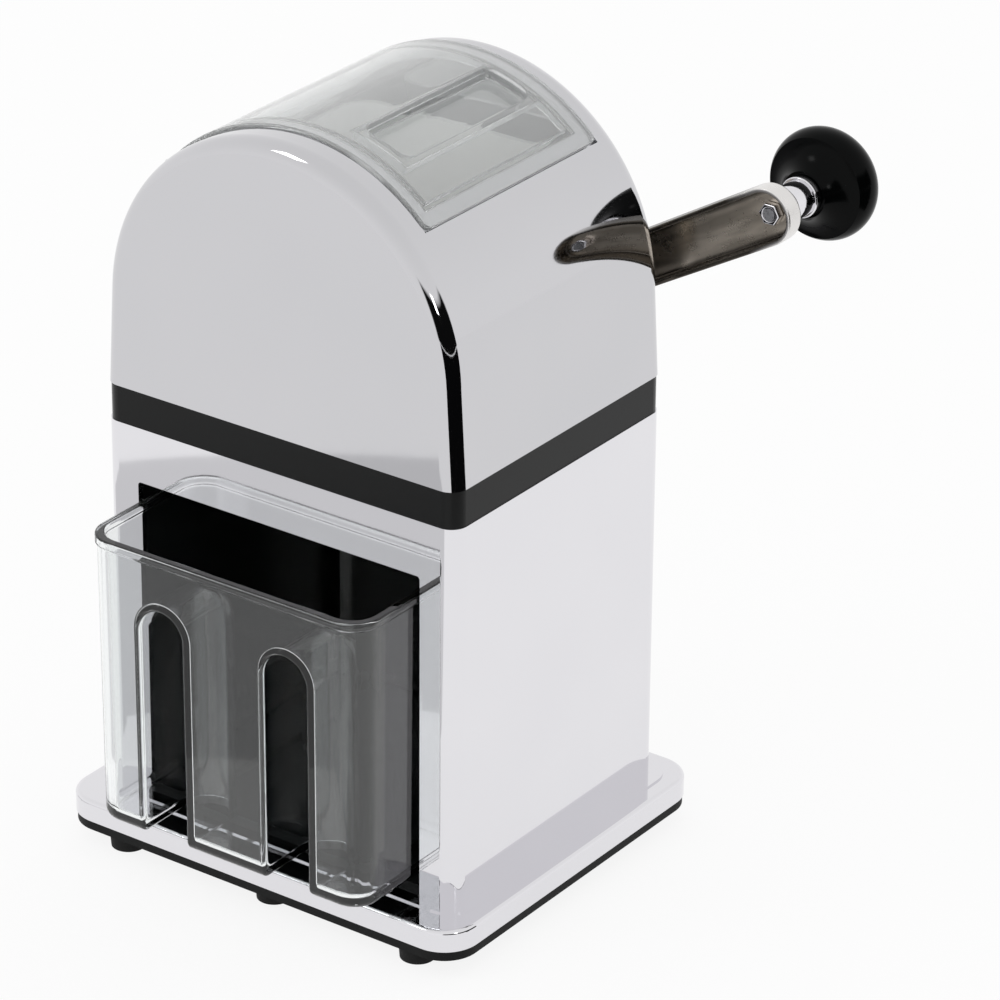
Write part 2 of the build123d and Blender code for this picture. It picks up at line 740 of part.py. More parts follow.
with BuildPart() as chamber_screws:
    with Locations(*[(x, y, deck_z + flange_thickness) for x, y in chamber_points]):
        add(screw(flange_thickness + deck_thickness), rotation=(180, 0, 0))
chamber_screws.part.label = "chamber_screws"
export_step(chamber_screws.part, "parts/chamber_screws.step")

with BuildPart() as right_comb:
    with BuildSketch(level(seam_z - comb_low)):
        with Locations((comb_back, 0)):
            Rectangle(comb_plate, comb_width, align=(Align.MIN, Align.CENTER))
    extrude(amount=comb_low - comb_high)
    for index in range(tooth_count):
        tooth_y = (index - (tooth_count - 1) / 2) * blade_pitch - tooth_thickness / 2
        with BuildSketch(upright(tooth_y, 0, seam_z)):
            with BuildLine():
                Polyline(
                    (comb_back, -comb_low),
                    (comb_back, -comb_high),
                    (tooth_tip, -2 * comb_high),
                    (tooth_tip, -3 * comb_high),
                    close=True,
                )
            make_face()
        extrude(amount=-tooth_thickness)
    with BuildSketch(Plane.YZ.offset(comb_back)):
        with Locations(*comb_screw_places):
            Circle(screw_radius + fit_gap)
    extrude(amount=comb_plate, mode=Mode.SUBTRACT)
right_comb.part.label = "right_comb"
export_step(right_comb.part, "parts/right_comb.step")

with BuildPart() as left_comb:
    add(right_comb.part)
    mirror(about=Plane.YZ, mode=Mode.REPLACE)
left_comb.part.label = "left_comb"
export_step(left_comb.part, "parts/left_comb.step")

comb_screw_seat = chamber_outer_width / 2
with BuildPart() as comb_screws:
    with Locations(*[(comb_screw_seat, y, z) for y, z in comb_screw_places]):
        add(screw(chamber_wall + comb_plate), rotation=(0, -90, 0))
    with Locations(*[(-comb_screw_seat, y, z) for y, z in comb_screw_places]):
        add(screw(chamber_wall + comb_plate), rotation=(0, 90, 0))
comb_screws.part.label = "comb_screws"
export_step(comb_screws.part, "parts/comb_screws.step")

# ================================================================ shaft, its bushes and the rotor
with BuildPart() as front_bush:
    rod(bush_radius, -bush_face_y, -chamber_half_length)
    rod(bush_flange_radius, -bush_face_y - bush_flange, -bush_face_y)
    rod(shaft_radius + fit_gap, -bush_face_y - bush_flange, -chamber_half_length, mode=Mode.SUBTRACT)
front_bush.part.label = "front_bush"
export_step(front_bush.part, "parts/front_bush.step")

with BuildPart() as rear_bush:
    rod(bush_radius, chamber_half_length, bush_face_y)
    rod(bush_flange_radius, bush_face_y, bush_face_y + bush_flange)
    rod(shaft_radius + fit_gap, chamber_half_length, bush_face_y + bush_flange, mode=Mode.SUBTRACT)
rear_bush.part.label = "rear_bush"
export_step(rear_bush.part, "parts/rear_bush.step")

with BuildPart() as shaft_bezel:
    rod(bezel_spigot_radius, half_depth - hood_wall, half_depth)
    rod(bezel_radius, half_depth, bezel_face_y)
    fillet(shaft_bezel.edges().group_by(Axis.Y)[-1], bezel_flange / 3)
    rod(bezel_bore_radius, half_depth - hood_wall, bezel_face_y, mode=Mode.SUBTRACT)
shaft_bezel.part.label = "shaft_bezel"
export_step(shaft_bezel.part, "parts/shaft_bezel.step")

tang_end_y = arm_back_y - seat_gap
with BuildPart() as crank_shaft:
    rod(shaft_radius, shaft_front_y, -stack_half_length)
    with BuildSketch(upright(-stack_half_length, 0, seam_z)):
        RegularPolygon(hex_width / 2, 6, major_radius=False)
    extrude(amount=-2 * stack_half_length)
    rod(shaft_radius, stack_half_length, arm_front_y)
    with BuildSketch(upright(arm_front_y, 0, seam_z, arm_angle)):
        Rectangle(tang_width, tang_width)
    extrude(amount=arm_front_y - tang_end_y)
    with BuildSketch(upright(circlip_y, 0, seam_z)):
        Circle(shaft_radius + 1)
        Circle(shaft_radius - groove_sink, mode=Mode.SUBTRACT)
    extrude(amount=circlip_thickness + fit_gap, mode=Mode.SUBTRACT)
    rod(hub_screw_radius + fit_gap, tang_end_y - hub_screw_length, tang_end_y, mode=Mode.SUBTRACT)
    chamfer(crank_shaft.edges().group_by(Axis.Y)[0], 1)
crank_shaft.part.label = "crank_shaft"
export_step(crank_shaft.part, "parts/crank_shaft.step")

with BuildPart() as shaft_circlip:
    with BuildSketch(upright(circlip_y, 0, seam_z)):
        Circle(circlip_radius)
        Circle(shaft_radius - groove_sink + fit_gap, mode=Mode.SUBTRACT)
        with Locations((0, -circlip_radius)):
            Rectangle(circlip_mouth, 2 * circlip_radius, mode=Mode.SUBTRACT)
    extrude(amount=circlip_thickness)
shaft_circlip.part.label = "shaft_circlip"
export_step(shaft_circlip.part, "parts/shaft_circlip.step")


def star_points(turn):
    """Corners of one blade: points with narrow tips, joined by flats at the root."""
    corners = []
    step = 360 / blade_points
    for index in range(blade_points):
        tip_angle = turn + index * step
        for radius, offset in (
            (blade_tip_radius, -2),
            (blade_tip_radius, 2),
            (blade_root_radius, step / 2 - 5),
            (blade_root_radius, step / 2 + 5),
        ):
            angle = radians(tip_angle + offset)
            corners.append((radius * cos(angle), radius * sin(angle)))
    return corners


blade_places = [(index - (blade_count - 1) / 2) * blade_pitch for index in range(blade_count)]
with BuildPart() as rotor_blades:
    for index, blade_y in enumerate(blade_places):
        start_y = blade_y - blade_thickness / 2
        with BuildSketch(upright(start_y, 0, seam_z)):
            with BuildLine():
                Polyline(*star_points(index * blade_twist), close=True)
            make_face()
            RegularPolygon(hex_width / 2 + fit_gap, 6, major_radius=False, mode=Mode.SUBTRACT)
        extrude(amount=-blade_thickness)
rotor_blades.part.label = "rotor_blades"
export_step(rotor_blades.part, "parts/rotor_blades.step")

spacer_ends = [-stack_half_length]
for blade_y in blade_places:
    spacer_ends += [blade_y - blade_thickness / 2, blade_y + blade_thickness / 2]
spacer_ends += [stack_half_length]
with BuildPart() as blade_spacers:
    for start_y, end_y in zip(spacer_ends[::2], spacer_ends[1::2]):
        rod(spacer_radius, start_y, end_y)
        hex_hole(start_y, end_y)
blade_spacers.part.label = "blade_spacers"
export_step(blade_spacers.part, "parts/blade_spacers.step")

with BuildPart() as thrust_washers:
    for start_y in (-stack_half_length - seat_gap - washer_thickness, stack_half_length + seat_gap):
        rod(washer_radius, start_y, start_y + washer_thickness)
        rod(shaft_radius + fit_gap, start_y, start_y + washer_thickness, mode=Mode.SUBTRACT)
thrust_washers.part.label = "thrust_washers"
export_step(thrust_washers.part, "parts/thrust_washers.step")


# ================================================================ crank arm and knob
def arm_outline(inset):
    """The arm's outline seen from the front: two round ends joined by straight flanks."""
    hub = arm_hub_radius - inset
    end = arm_end_radius - inset
    flank = acos((hub - end) / crank_radius)
    hub_top = (hub * cos(flank), hub * sin(flank))
    end_top = (crank_radius + end * cos(flank), end * sin(flank))
    with BuildLine() as outline:
        Line(hub_top, end_top)
        ThreePointArc(end_top, (crank_radius + end, 0), (end_top[0], -end_top[1]))
        Line((end_top[0], -end_top[1]), (hub_top[0], -hub_top[1]))
        ThreePointArc((hub_top[0], -hub_top[1]), (-hub, 0), hub_top)
    make_face(outline.edges())


with BuildPart() as crank_arm:
    with BuildSketch(upright(arm_front_y, 0, seam_z, arm_angle)):
        arm_outline(0)
    extrude(amount=-arm_depth)
    fillet(crank_arm.faces().sort_by(Axis.Y)[-1].edges(), arm_edge_round)
    with BuildSketch(upright(arm_front_y, 0, seam_z, arm_angle)):
        arm_outline(arm_flange)
    extrude(amount=-(arm_depth - arm_web), mode=Mode.SUBTRACT)
    rod(hub_boss_radius, arm_front_y + arm_flange, arm_back_y - arm_web)
    with BuildSketch(upright(arm_front_y, 0, seam_z, arm_angle)):
        Rectangle(tang_width + 2 * fit_gap, tang_width + 2 * fit_gap)
    extrude(amount=-arm_depth, mode=Mode.SUBTRACT)
    rod(spindle_thread_radius + fit_gap, arm_front_y, arm_back_y, knob_x, knob_z, mode=Mode.SUBTRACT)
crank_arm.part.label = "crank_arm"
export_step(crank_arm.part, "parts/crank_arm.step")

with BuildPart() as hub_screw:
    rod(hub_screw_head_radius, arm_back_y, arm_back_y + hub_screw_head)
    fillet(hub_screw.edges().group_by(Axis.Y)[-1], hub_screw_head / 2)
    with BuildSketch(upright(arm_back_y + hub_screw_head - recess_depth, 0, seam_z)):
        Rectangle(recess_length, recess_width)
        Rectangle(recess_width, recess_length)
    extrude(amount=-recess_depth, mode=Mode.SUBTRACT)
    rod(hub_screw_radius, tang_end_y - hub_screw_length + seat_gap, arm_back_y)
hub_screw.part.label = "hub_screw"
export_step(hub_screw.part, "parts/hub_screw.step")

with BuildPart() as ferrule:
    rod(ferrule_ring_radius, arm_back_y, arm_back_y + ferrule_ring, knob_x, knob_z)
    rod(ferrule_radius, arm_back_y, ferrule_end_y, knob_x, knob_z)
    rod(ferrule_ring_radius, ferrule_end_y - ferrule_ring, ferrule_end_y, knob_x, knob_z)
    fillet(ferrule.edges().filter_by(GeomType.CIRCLE).group_by(SortBy.RADIUS)[-1], ferrule_ring / 6)
    rod(spindle_radius + fit_gap, arm_back_y, ferrule_end_y, knob_x, knob_z, mode=Mode.SUBTRACT)
ferrule.part.label = "ferrule"
export_step(ferrule.part, "parts/ferrule.step")

seat_y = knob_front_y + knob_bore_depth
with BuildPart() as knob_spindle:
    nut_face_y = arm_back_y - arm_web - nut_thickness
    rod(spindle_thread_radius, nut_face_y - seat_gap, arm_back_y, knob_x, knob_z)
    rod(spindle_radius, arm_back_y, seat_y + seat_gap, knob_x, knob_z)
    rod(spindle_head_radius, seat_y + seat_gap, seat_y + seat_gap + spindle_head, knob_x, knob_z)
knob_spindle.part.label = "knob_spindle"
export_step(knob_spindle.part, "parts/knob_spindle.step")

with BuildPart() as spindle_nut:
    with BuildSketch(upright(nut_face_y, knob_x, knob_z)):
        RegularPolygon(nut_width / 2, 6, major_radius=False)
    extrude(amount=-nut_thickness)
    rod(spindle_thread_radius + fit_gap, nut_face_y, arm_back_y - arm_web, knob_x, knob_z, mode=Mode.SUBTRACT)
spindle_nut.part.label = "spindle_nut"
export_step(spindle_nut.part, "parts/spindle_nut.step")

flare_y = knob_front_y + knob_flare_length
crown_y = flare_y + knob_rim_length
shoulder_radius = knob_radius - knob_shoulder
flare_middle_radius = (knob_neck_radius + shoulder_radius) / 2 - knob_flare_hollow
# The crown is part of a ball whose centre lies on the knob's axis.
dome_radius = (shoulder_radius**2 + knob_crown**2) / (2 * knob_crown)
dome_angle = atan2(shoulder_radius, dome_radius - knob_crown)
with BuildPart() as knob_blank:
    with BuildSketch(Plane.XY.offset(knob_z)):
        with BuildLine():
            Line((knob_x, knob_front_y), (knob_x + knob_neck_radius, knob_front_y))
            ThreePointArc(
                (knob_x + knob_neck_radius, knob_front_y),
                (knob_x + flare_middle_radius, knob_front_y + knob_flare_length * 0.62),
                (knob_x + shoulder_radius, flare_y),
            )
            ThreePointArc(
                (knob_x + shoulder_radius, flare_y),
                (knob_x + knob_radius, (flare_y + crown_y) / 2),
                (knob_x + shoulder_radius, crown_y),
            )
            ThreePointArc(
                (knob_x + shoulder_radius, crown_y),
                (
                    knob_x + dome_radius * sin(dome_angle / 2),
                    knob_back_y - dome_radius * (1 - cos(dome_angle / 2)),
                ),
                (knob_x, knob_back_y),
            )
            Line((knob_x, knob_back_y), (knob_x, knob_front_y))
        make_face()
    revolve(axis=Axis((knob_x, 0, knob_z), (0, 1, 0)))

cap_y = seat_y + knob_counterbore
with BuildPart() as knob:
    add(knob_blank.part)
    rod(spindle_radius + fit_gap, knob_front_y, seat_y, knob_x, knob_z, mode=Mode.SUBTRACT)
    rod(spindle_head_radius + swing_gap, seat_y, cap_y, knob_x, knob_z, mode=Mode.SUBTRACT)
    rod(knob_cap_radius + fit_gap, cap_y, knob_back_y + knob_crown, knob_x, knob_z, mode=Mode.SUBTRACT)
knob.part.label = "knob"
export_step(knob.part, "parts/knob.step")

with BuildPart() as knob_cap:
    rod(knob_cap_radius, cap_y, knob_back_y + knob_crown, knob_x, knob_z)
    add(knob_blank.part, mode=Mode.INTERSECT)
knob_cap.part.label = "knob_cap"
export_step(knob_cap.part, "parts/knob_cap.step")

# ================================================================ ice drawer
def groove_shape(gap):
    """Both finger grooves as solids, grown by gap: arched on top and rounded at the rear."""
    radius = groove_radius + gap
    run = drawer_front + groove_end_y + 2 * drawer_wall
    with BuildPart() as grooves:
        for side in (-1, 1):
            x = side * groove_spacing
            with BuildSketch(level(drawer_bottom_z - drawer_floor)) as plan:
                with Locations((x, groove_end_y)):
                    Circle(radius)
                    Rectangle(2 * radius, run, align=(Align.CENTER, Align.MAX))
            extrude(plan.sketch, amount=groove_centre_z - drawer_bottom_z + drawer_floor)
            rod(radius, groove_end_y - run, groove_end_y, x, groove_centre_z)
            with Locations((x, groove_end_y, groove_centre_z)):
                Sphere(radius)
    return grooves.part


drawer_block_width = drawer_width - 2 * rim_lip
lip_y = -drawer_front + rim_height
drawer_block_length = drawer_length - 2 * rim_lip
with BuildPart() as drawer_hollow:
    with BuildSketch(level(drawer_rim_z, drawer_y)):
        RectangleRounded(
            drawer_block_width - 2 * drawer_wall,
            drawer_block_length - 2 * drawer_wall,
            drawer_corner - drawer_wall,
        )
    extrude(amount=-(drawer_rim_z - drawer_bottom_z - drawer_floor), taper=drawer_taper)
    fillet(drawer_hollow.faces().sort_by(Axis.Z)[0].edges(), drawer_edge_round)
    add(groove_shape(groove_wall), mode=Mode.SUBTRACT)

with BuildPart() as ice_drawer:
    with BuildSketch(level(drawer_rim_z, drawer_y)):
        RectangleRounded(drawer_block_width, drawer_block_length, drawer_corner - rim_lip)
    extrude(amount=-(drawer_rim_z - drawer_bottom_z), taper=drawer_taper)
    fillet(ice_drawer.faces().sort_by(Axis.Z)[0].edges(), drawer_edge_round)
    with BuildSketch(level(drawer_rim_z - rim_height, drawer_y)):
        RectangleRounded(drawer_width, drawer_length, drawer_corner)
    extrude(amount=rim_height)
    add(groove_shape(0), mode=Mode.SUBTRACT)
    groove_mouths = ice_drawer.edges(Select.LAST).filter_by_position(Axis.Y, -drawer_front, lip_y)
    fillet(groove_mouths, groove_lip)
    add(drawer_hollow.part, mode=Mode.SUBTRACT)
ice_drawer.part.label = "ice_drawer"
export_step(ice_drawer.part, "parts/ice_drawer.step")
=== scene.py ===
# %% [markdown]
# # Hand crank ice crusher
# A chrome-plated shell with an arched hood stands on a chrome plinth and rubber feet. A black
# band parts hood and body, a clear lid opens on top, a clear drawer slides out in front, and a
# crank with a black knob turns behind it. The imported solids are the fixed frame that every
# piece here is fitted to, so nothing needs to be measured twice.

# %% Load the fixed frame
from math import cos, radians, sin

import bmesh
import bpy
from mathutils import Matrix, Vector


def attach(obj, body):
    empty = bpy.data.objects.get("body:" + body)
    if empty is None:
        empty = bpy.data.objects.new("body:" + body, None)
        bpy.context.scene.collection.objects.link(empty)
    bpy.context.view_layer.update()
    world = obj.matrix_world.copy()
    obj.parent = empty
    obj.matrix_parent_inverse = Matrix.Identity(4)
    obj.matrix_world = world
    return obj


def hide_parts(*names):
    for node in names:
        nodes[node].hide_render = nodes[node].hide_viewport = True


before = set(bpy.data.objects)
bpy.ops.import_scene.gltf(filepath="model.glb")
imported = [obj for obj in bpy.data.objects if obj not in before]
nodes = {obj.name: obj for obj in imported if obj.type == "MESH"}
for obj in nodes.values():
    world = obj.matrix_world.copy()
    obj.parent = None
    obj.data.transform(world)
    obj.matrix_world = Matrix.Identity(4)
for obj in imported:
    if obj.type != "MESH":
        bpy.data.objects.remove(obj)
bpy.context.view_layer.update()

# %% [markdown]
# ## Camera
# A long lens a good arm's length away keeps the uprights nearly parallel, as a catalogue
# picture has them. The camera is turned about the vertical first, then tipped down, then
# rolled by half a degree, because the picture hangs that little bit to one side.

# %% Camera
AROUND = radians(35.62)
TIP = radians(63.79)
ROLL = radians(0.50)
CAMERA_PLACE = (0.92061, -1.21945, 0.87496)
FOCAL_LENGTH_MM = 185.02
lens = bpy.data.cameras.new("long_lens")
lens.lens = FOCAL_LENGTH_MM
lens.sensor_width = 36.0
lens.clip_start = 0.05
camera = bpy.data.objects.new("camera", lens)
bpy.context.scene.collection.objects.link(camera)
turned = Matrix.Rotation(AROUND, 4, "Z") @ Matrix.Rotation(TIP, 4, "X")
turned = turned @ Matrix.Rotation(ROLL, 4, "Z")
camera.matrix_world = Matrix.Translation(CAMERA_PLACE) @ turned
bpy.context.scene.camera = camera
bpy.context.scene.view_settings.view_transform = "Standard"
print("camera", tuple(round(c, 3) for c in camera.location), "lens", lens.lens)

# %% [markdown]
# ## Two helpers for materials
# Colours are written as sRGB hex values, the way a swatch is, and one function turns them into
# the linear numbers that the shader wants. One more function adds a node with its settings,
# its values and its links, so that a material reads like a list.

# %% Colours and nodes
MILLIMETRE = 0.001


def linear(swatch):
    """An sRGB hex value as the shader's linear colour."""
    channels = [int(swatch[i : i + 2], 16) / 255 for i in (1, 3, 5)]
    return [c / 12.92 if c <= 0.04045 else ((c + 0.055) / 1.055) ** 2.4 for c in channels] + [1.0]


def add_node(tree, kind, values=None, **settings):
    """A new node. A value that is another node's socket becomes a link from it."""
    made = tree.nodes.new(kind)
    for name, setting in settings.items():
        setattr(made, name, setting)
    for name, value in (values or {}).items():
        if isinstance(value, bpy.types.NodeSocket):
            tree.links.new(value, made.inputs[name])
        else:
            made.inputs[name].default_value = value
    return made


def per_metre(size_mm):
    """The scale of a pattern whose features are this many millimetres apart."""
    return 1 / (size_mm * MILLIMETRE)


print("mid grey", [round(c, 3) for c in linear("#808080")])

# %% [markdown]
# ## The studio
# A mirror has no look of its own: it shows the room. So the room is built first. The walls of
# the body send the camera's downward view on to the table, which is white all round. To the
# right of the object a black board lies on the table, and that gives the rounded corner of the
# hood its black line. A grey board lies front left, out of the picture, and dims the front of
# the body a little. The boards are flat pieces of a ring, made by spinning one edge, so that
# their rims keep the same distance from the corner that mirrors them.

# %% Table and boards
RING_STEPS = 24
TABLE_REACH = 3.2
BOARD_THICKNESS = 0.0008
CORNER = (0.065, -0.052)
BODY_FRONT = (0.0, -0.058)


def ring_board(name, middle, inner, outer, from_heading, to_heading, height):
    """A flat piece of a ring. Headings are degrees to the right of straight ahead (-Y)."""
    mesh = bpy.data.meshes.new(name)
    shape = bmesh.new()
    start = Vector((sin(radians(from_heading)), -cos(radians(from_heading)), 0))
    centre = Vector((*middle, height))
    ends = [shape.verts.new(centre + start * reach) for reach in (inner, outer)]
    edge = shape.edges.new(ends)
    turn = radians(to_heading - from_heading)
    bmesh.ops.spin(
        shape, geom=[*ends, edge], cent=(*middle, 0), axis=(0, 0, 1), angle=turn, steps=RING_STEPS
    )
    bmesh.ops.recalc_face_normals(shape, faces=shape.faces)
    shape.to_mesh(mesh)
    shape.free()
    board = bpy.data.objects.new(name, mesh)
    bpy.context.scene.collection.objects.link(board)
    return board


table = ring_board(
    "table", (0, 0), inner=0.0, outer=TABLE_REACH, from_heading=0, to_heading=360, height=0.0
)
dark_board = ring_board(
    "dark_beyond",
    CORNER,
    inner=0.385,
    outer=2.7,
    from_heading=35,
    to_heading=128,
    height=BOARD_THICKNESS,
)
grey_board = ring_board(
    "grey_front_left",
    BODY_FRONT,
    inner=0.135,
    outer=0.335,
    from_heading=-85,
    to_heading=5,
    height=BOARD_THICKNESS,
)
print("boards", [board.name for board in (table, dark_board, grey_board)])

# %% [markdown]
# The boards are matt card. A camera, mirror or glass ray sees most of a board as an even light
# of its own colour, and the rest as lit card, so white stays white and keeps a soft shadow.
# The black and the grey board are there for the mirrors: the camera and the lamps look
# straight through them to the white table.

# %% Card for the boards
def card(name, swatch, shining, only_mirrored=False):
    """Matt card, partly shining in its own colour. A card may show in mirrors alone."""
    material = bpy.data.materials.new(name)
    material.use_nodes = True
    tree = material.node_tree
    tree.nodes.clear()
    path = add_node(tree, "ShaderNodeLightPath")
    by_camera = path.outputs["Is Camera Ray"]
    by_mirror = path.outputs["Is Glossy Ray"]
    by_glass = path.outputs["Is Transmission Ray"]
    by_lamp = path.outputs["Is Shadow Ray"]
    mirror = add_node(tree, "ShaderNodeMath", {0: by_camera, 1: by_mirror}, operation="MAXIMUM")
    seen = add_node(
        tree, "ShaderNodeMath", {0: mirror.outputs[0], 1: by_glass}, operation="MAXIMUM"
    )
    share = add_node(
        tree, "ShaderNodeMath", {0: seen.outputs[0], 1: shining}, operation="MULTIPLY"
    )
    matt = add_node(tree, "ShaderNodeBsdfDiffuse", {"Color": linear(swatch)})
    glow = add_node(tree, "ShaderNodeEmission", {"Color": linear(swatch), "Strength": 1.0})
    mixed = add_node(
        tree,
        "ShaderNodeMixShader",
        {0: share.outputs[0], 1: matt.outputs[0], 2: glow.outputs[0]},
    )
    surface = mixed.outputs[0]
    if only_mirrored:
        direct = add_node(tree, "ShaderNodeMath", {0: by_camera, 1: by_lamp}, operation="MAXIMUM")
        clear = add_node(tree, "ShaderNodeBsdfTransparent")
        hidden = add_node(
            tree, "ShaderNodeMixShader", {0: direct.outputs[0], 1: surface, 2: clear.outputs[0]}
        )
        surface = hidden.outputs[0]
    add_node(tree, "ShaderNodeOutputMaterial", {"Surface": surface})
    return material


table.data.materials.append(card("white_card", "#FEFEFE", 0.88))
dark_board.data.materials.append(card("black_card", "#0B0B0C", 0.3, only_mirrored=True))
grey_board.data.materials.append(card("grey_card", "#DCDCDD", 0.8, only_mirrored=True))
print("cards", len(bpy.data.materials))

# %% [markdown]
# Above the table hangs a white tent. It is open on the right of the object, from the table up
# to about twenty degrees, where the dark room looks in. The opening shows in mirrors and
# through glass, and the camera itself sees white cloth there.

# %% The tent and its opening
world = bpy.data.worlds.new("white_tent")
bpy.context.scene.world = world
world.use_nodes = True
tree = world.node_tree
tree.nodes.clear()
heading = add_node(tree, "ShaderNodeTexCoord").outputs["Generated"]
height = add_node(tree, "ShaderNodeSeparateXYZ", {0: heading}).outputs["Z"]
OPENING_HEADING = 81.5  # degrees to the right of straight ahead
OPENING_TOP = (0.30, 0.38)  # where its soft upper edge starts and ends, as a share of the height
OPENING_SIDE = (0.62, 0.68)  # the same for its two sides, as the cosine from its middle
opening_middle = (sin(radians(OPENING_HEADING)), -cos(radians(OPENING_HEADING)), 0)
across = add_node(
    tree, "ShaderNodeVectorMath", {0: heading, 1: opening_middle}, operation="DOT_PRODUCT"
)
low = add_node(
    tree,
    "ShaderNodeMapRange",
    {
        "Value": height,
        "From Min": OPENING_TOP[0],
        "From Max": OPENING_TOP[1],
        "To Min": 1,
        "To Max": 0,
    },
)
side = add_node(
    tree,
    "ShaderNodeMapRange",
    {"Value": across.outputs["Value"], "From Min": OPENING_SIDE[0], "From Max": OPENING_SIDE[1]},
)
opening = add_node(
    tree, "ShaderNodeMath", {0: low.outputs[0], 1: side.outputs[0]}, operation="MULTIPLY"
)
direct = add_node(tree, "ShaderNodeLightPath").outputs["Is Camera Ray"]
mirrored = add_node(tree, "ShaderNodeMath", {0: 1.0, 1: direct}, operation="SUBTRACT")
dark = add_node(
    tree, "ShaderNodeMath", {0: opening.outputs[0], 1: mirrored.outputs[0]}, operation="MULTIPLY"
)
cloth = add_node(
    tree,
    "ShaderNodeMapRange",
    {"Value": height, "From Min": 0.1, "From Max": 0.9, "To Min": 1.0, "To Max": 0.9},
)
bright = add_node(
    tree, "ShaderNodeCombineColor", {channel: cloth.outputs[0] for channel in range(3)}
)
seen_room = add_node(
    tree,
    "ShaderNodeMix",
    {"Factor": dark.outputs[0], "A": bright.outputs[0], "B": linear("#101010")},
    data_type="RGBA",
)
lit = add_node(
    tree, "ShaderNodeBackground", {"Color": seen_room.outputs["Result"], "Strength": 1.0}
)
add_node(tree, "ShaderNodeOutputWorld", {"Surface": lit.outputs[0]})
print("tent hung, open towards", OPENING_HEADING, "degrees")


# %% Soft lamps
def soft_lamp(name, place, aim, width, power):
    """A square area lamp that points from its place to its aim."""
    light = bpy.data.lights.new(name, "AREA")
    light.size = width
    light.energy = power
    lamp = bpy.data.objects.new(name, light)
    bpy.context.scene.collection.objects.link(lamp)
    beam = Vector(aim) - Vector(place)
    turned = beam.to_track_quat("-Z", "Y").to_matrix().to_4x4()
    lamp.matrix_world = Matrix.Translation(place) @ turned
    return lamp


soft_lamp("key", (-1.1, -1.3, 1.9), (0, 0, 0.12), 0.5, 3)
soft_lamp("fill", (1.5, -0.6, 0.75), (0, 0, 0.2), 0.25, 1.0)

# %% [markdown]
# ## Plated and moulded finishes
# Chrome-plated ABS is a moulded plastic shell with a bright metal skin. It mirrors almost
# cleanly, but the moulding under it is never quite flat: over ten or so millimetres the mirror
# image swims a little. A slow noise in the bump gives that, and a finer one varies the gloss.


# %% One way to build a finish
def finish(
    name, swatch, metallic, roughness, wave_mm, wave_depth_mm, gloss_mm, gloss_range, tint, **sockets
):
    """A finish with a slow wave in its surface, a varied gloss and a slight change of tone."""
    material = bpy.data.materials.new(name)
    material.use_nodes = True
    tree = material.node_tree
    skin = tree.nodes["Principled BSDF"]
    skin.inputs["Metallic"].default_value = metallic
    for socket, value in sockets.items():
        skin.inputs[socket.replace("_", " ")].default_value = value
    spot = add_node(tree, "ShaderNodeTexCoord").outputs["Object"]
    tone = add_node(
        tree,
        "ShaderNodeTexNoise",
        {"Vector": spot, "Scale": per_metre(3 * wave_mm), "Detail": 2.0},
    )
    shade = add_node(
        tree,
        "ShaderNodeMix",
        {"Factor": tone.outputs[0], "A": linear(swatch), "B": linear(tint)},
        data_type="RGBA",
    )
    tree.links.new(shade.outputs["Result"], skin.inputs["Base Color"])
    grain = add_node(
        tree, "ShaderNodeTexNoise", {"Vector": spot, "Scale": per_metre(gloss_mm), "Detail": 3.0}
    )
    gloss = add_node(
        tree,
        "ShaderNodeMapRange",
        {"Value": grain.outputs[0], "To Min": roughness, "To Max": roughness + gloss_range},
    )
    tree.links.new(gloss.outputs[0], skin.inputs["Roughness"])
    wave = add_node(
        tree, "ShaderNodeTexNoise", {"Vector": spot, "Scale": per_metre(wave_mm), "Detail": 1.0}
    )
    bump = add_node(
        tree,
        "ShaderNodeBump",
        {"Height": wave.outputs[0], "Strength": 1.0, "Distance": wave_depth_mm * MILLIMETRE},
    )
    tree.links.new(bump.outputs[0], skin.inputs["Normal"])
    return material


chrome = finish("chrome_plated_abs", "#E6E5E8", 1.0, 0.03, 22, 0.012, 5, 0.03, "#E0DFE3")
hood_chrome = finish(
    "chrome_plated_abs_hood", "#CFCED1", 1.0, 0.03, 22, 0.012, 5, 0.03, "#CACACD"
)
arm_steel = finish("chrome_plated_steel", "#E2D8C9", 1.0, 0.24, 14, 0.012, 3, 0.08, "#C9BEAF")
band_black = finish(
    "black_gloss_abs", "#030404", 0.0, 0.20, 14, 0.01, 2, 0.08, "#060707",
    Specular_IOR_Level=0.22,
)
liner_black = finish(
    "black_matte_abs", "#040505", 0.0, 0.5, 2, 0.02, 1.2, 0.15, "#070808",
    Specular_IOR_Level=0.2,
)
white_abs = finish("white_abs", "#F3F3F1", 0.0, 0.35, 6, 0.01, 2, 0.1, "#EEEEEA")
rubber = finish(
    "black_rubber", "#0B0B0B", 0.0, 0.7, 1.5, 0.03, 1.0, 0.15, "#121212",
    Specular_IOR_Level=0.3,
)
zinc = finish("zinc_plated_steel", "#B9BBBD", 1.0, 0.28, 3, 0.01, 0.8, 0.12, "#A9ABAE")
stainless = finish("stainless_steel", "#BDBEC0", 1.0, 0.22, 4, 0.01, 0.8, 0.12, "#ACADB0")
nylon = finish("natural_nylon", "#DAD7CC", 0.0, 0.4, 3, 0.01, 1, 0.1, "#D2CEC2")
phenolic = finish(
    "black_phenolic", "#020303", 0.0, 0.14, 9, 0.006, 3, 0.05, "#050606",
    Specular_IOR_Level=0.07,
)
